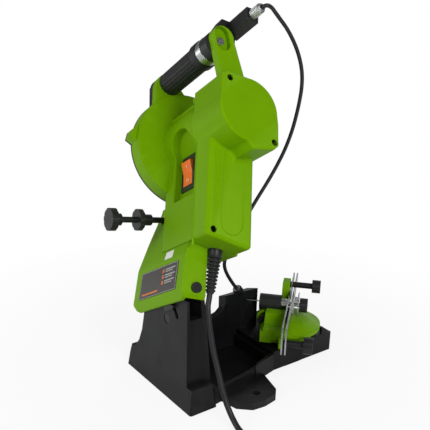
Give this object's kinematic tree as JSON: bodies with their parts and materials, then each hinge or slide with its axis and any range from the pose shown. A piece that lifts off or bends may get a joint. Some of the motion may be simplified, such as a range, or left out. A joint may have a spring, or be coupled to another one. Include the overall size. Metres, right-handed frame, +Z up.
{
  "type": "electric chainsaw sharpener",
  "caption": "Bench-mounted electric grinder for saw chains: tilting green head on a swinging arm with a wheel guard, above a black base with a turning chain vice.",
  "frame": {"origin": "midway between the centres of the two mounting holes, on the bench plane", "axes": "+Z up; -Y to the front, where the user stands at the vice; +X to the side of the grinding wheel. The head stands at its 30 degree tilt to +X with the arm raised."},
  "size_m": [0.4534, 0.3454, 0.4811],
  "materials": {
    "abrasive": "rough",
    "aluminium": "turned",
    "black_plastic": "fine texture",
    "black_steel": "black",
    "brass": "plain",
    "cord_rubber": "smooth",
    "green_plastic": "semi-gloss moulded",
    "grip_rubber": "ribbed",
    "label": "satin",
    "orange_plastic": "gloss",
    "steel": "satin",
    "sticker": "paper",
    "zinc": "bright zinc plated"
  },
  "bodies": {
    "base": {"base_casting": "black_plastic", "tilt_pin": "black_steel", "cable_ferrule": "zinc", "vice_pivot": "zinc", "cable_lower": "cord_rubber", "cable_wire": "steel", "mains_cord_lower": "cord_rubber", "mains_cord_coil": "cord_rubber", "plug": "black_plastic", "cord_tie": "black_plastic"},
    "bracket": {"tilt_bracket": "black_steel", "swing_shaft": "steel", "index_screw": "black_steel"},
    "arm": {"shell_left": "green_plastic", "shell_right": "green_plastic", "guard_cover": "black_plastic", "shaft_caps": "black_plastic", "handle_core": "steel", "handle_ring": "aluminium", "cable_housing": "black_plastic", "shell_screws": "black_steel", "handle_screws": "zinc", "motor_field": "steel", "brush_holders": "black_plastic", "bearing_front": "steel", "bearing_rear": "steel", "switch_body": "black_plastic", "stop_insert": "brass", "nameplate": "label", "rating_sticker": "sticker", "strain_relief": "black_plastic", "cable_upper": "cord_rubber", "mains_cord_upper": "cord_rubber"},
    "spindle": {"rotor": "steel", "cooling_fan": "black_plastic", "flange_inner": "zinc", "grinding_wheel": "abrasive", "flange_outer": "zinc", "wheel_nut": "steel"},
    "rocker": {"switch_rocker": "orange_plastic"},
    "grip": {"handle_grip": "grip_rubber"},
    "adjuster": {"cable_adjuster": "zinc"},
    "depth_stop": {"stop_screw": "black_plastic"},
    "lock_nut": {"stop_lock_nut": "black_plastic"},
    "vice": {"vice_table": "green_plastic", "plate_fixed": "steel", "clamp_cylinder": "black_steel", "clamp_collar": "zinc", "lever_pin": "black_plastic", "jaw_screws": "zinc"},
    "jaw": {"clamp_rod": "steel", "plate_moving": "steel", "jaw_bracket": "steel"},
    "jaw_knob": {"clamp_knob": "black_plastic"},
    "stop_knob": {"chain_stop": "black_plastic"},
    "pawl": {"chain_pawl": "zinc"},
    "turn_knob": {"turn_lock": "black_plastic"},
    "tilt_nut": {"tilt_knob": "black_plastic"}
  },
  "joints": [
    {"name": "head_tilt", "type": "hinge", "parent": "base", "child": "bracket", "pos_m": [-0.01, 0.069, 0.102], "axis": [0, 1, 0], "range_deg": [-30, 0], "deforming": ["cable_lower", "mains_cord_lower"]},
    {"name": "arm_swing", "type": "hinge", "parent": "bracket", "child": "arm", "pos_m": [0.003, 0.069, 0.12452], "axis": [0.866, 0, -0.5], "range_deg": [0, 55], "stiffness_Nm_per_rad": 10, "springref_deg": -2.86, "deforming": ["cable_upper", "mains_cord_upper"]},
    {"name": "wheel_spin", "type": "hinge", "parent": "arm", "child": "spindle", "pos_m": [0.09788, -0.02027, 0.28486], "axis": [0.866, 0, -0.5], "continuous": true},
    {"name": "switch_rock", "type": "hinge", "parent": "arm", "child": "rocker", "pos_m": [0.03567, 0.01723, 0.27011], "axis": [0.866, 0, -0.5], "range_deg": [0, 18]},
    {"name": "grip_twist", "type": "hinge", "parent": "arm", "child": "grip", "pos_m": [0.10001, -0.01787, 0.39254], "axis": [0.866, 0, -0.5], "range_deg": [0, 45]},
    {"name": "adjuster_turn", "type": "hinge", "parent": "arm", "child": "adjuster", "pos_m": [-0.00671, -0.04633, 0.4717], "axis": [0.866, 0, -0.5], "range_deg": [-180, 180]},
    {"name": "depth_adjust", "type": "slide", "parent": "arm", "child": "depth_stop", "axis": [0.0937, 0.9823, 0.1623], "range_m": [-0.005, 0.015]},
    {"name": "depth_lock", "type": "slide", "parent": "arm", "child": "lock_nut", "axis": [0.0937, 0.9823, 0.1623], "range_m": [-0.016, 0.017]},
    {"name": "vice_turn", "type": "hinge", "parent": "base", "child": "vice", "pos_m": [-0.02, -0.118, 0.04], "axis": [0, 0, 1], "range_deg": [0, 47], "deforming": ["cable_wire"]},
    {"name": "clamp_slide", "type": "slide", "parent": "vice", "child": "jaw", "axis": [0.7314, 0.682, 0], "range_m": [0, 0.00175]},
    {"name": "jaw_knob_turn", "type": "hinge", "parent": "jaw", "child": "jaw_knob", "pos_m": [-0.03316, -0.13028, 0.074], "axis": [0.7314, 0.682, 0], "continuous": true},
    {"name": "chain_stop_turn", "type": "hinge", "parent": "vice", "child": "stop_knob", "pos_m": [-0.00871, -0.15943, 0.088], "axis": [0.7314, 0.682, 0], "continuous": true},
    {"name": "pawl_swing", "type": "hinge", "parent": "vice", "child": "pawl", "pos_m": [0.00657, -0.14518, 0.088], "axis": [0.7314, 0.682, 0], "range_deg": [0, 30]},
    {"name": "turn_lock_turn", "type": "hinge", "parent": "vice", "child": "turn_knob", "pos_m": [-0.06507, -0.09166, 0.038], "axis": [0.7314, 0.682, 0], "continuous": true},
    {"name": "tilt_knob_turn", "type": "hinge", "parent": "base", "child": "tilt_nut", "pos_m": [-0.01, 0.044, 0.102], "axis": [0, 1, 0], "continuous": true}
  ],
  "couplings": [
    {"joint": "clamp_slide", "follows": "grip_twist", "m_per_rad": 0.0021645}
  ]
}
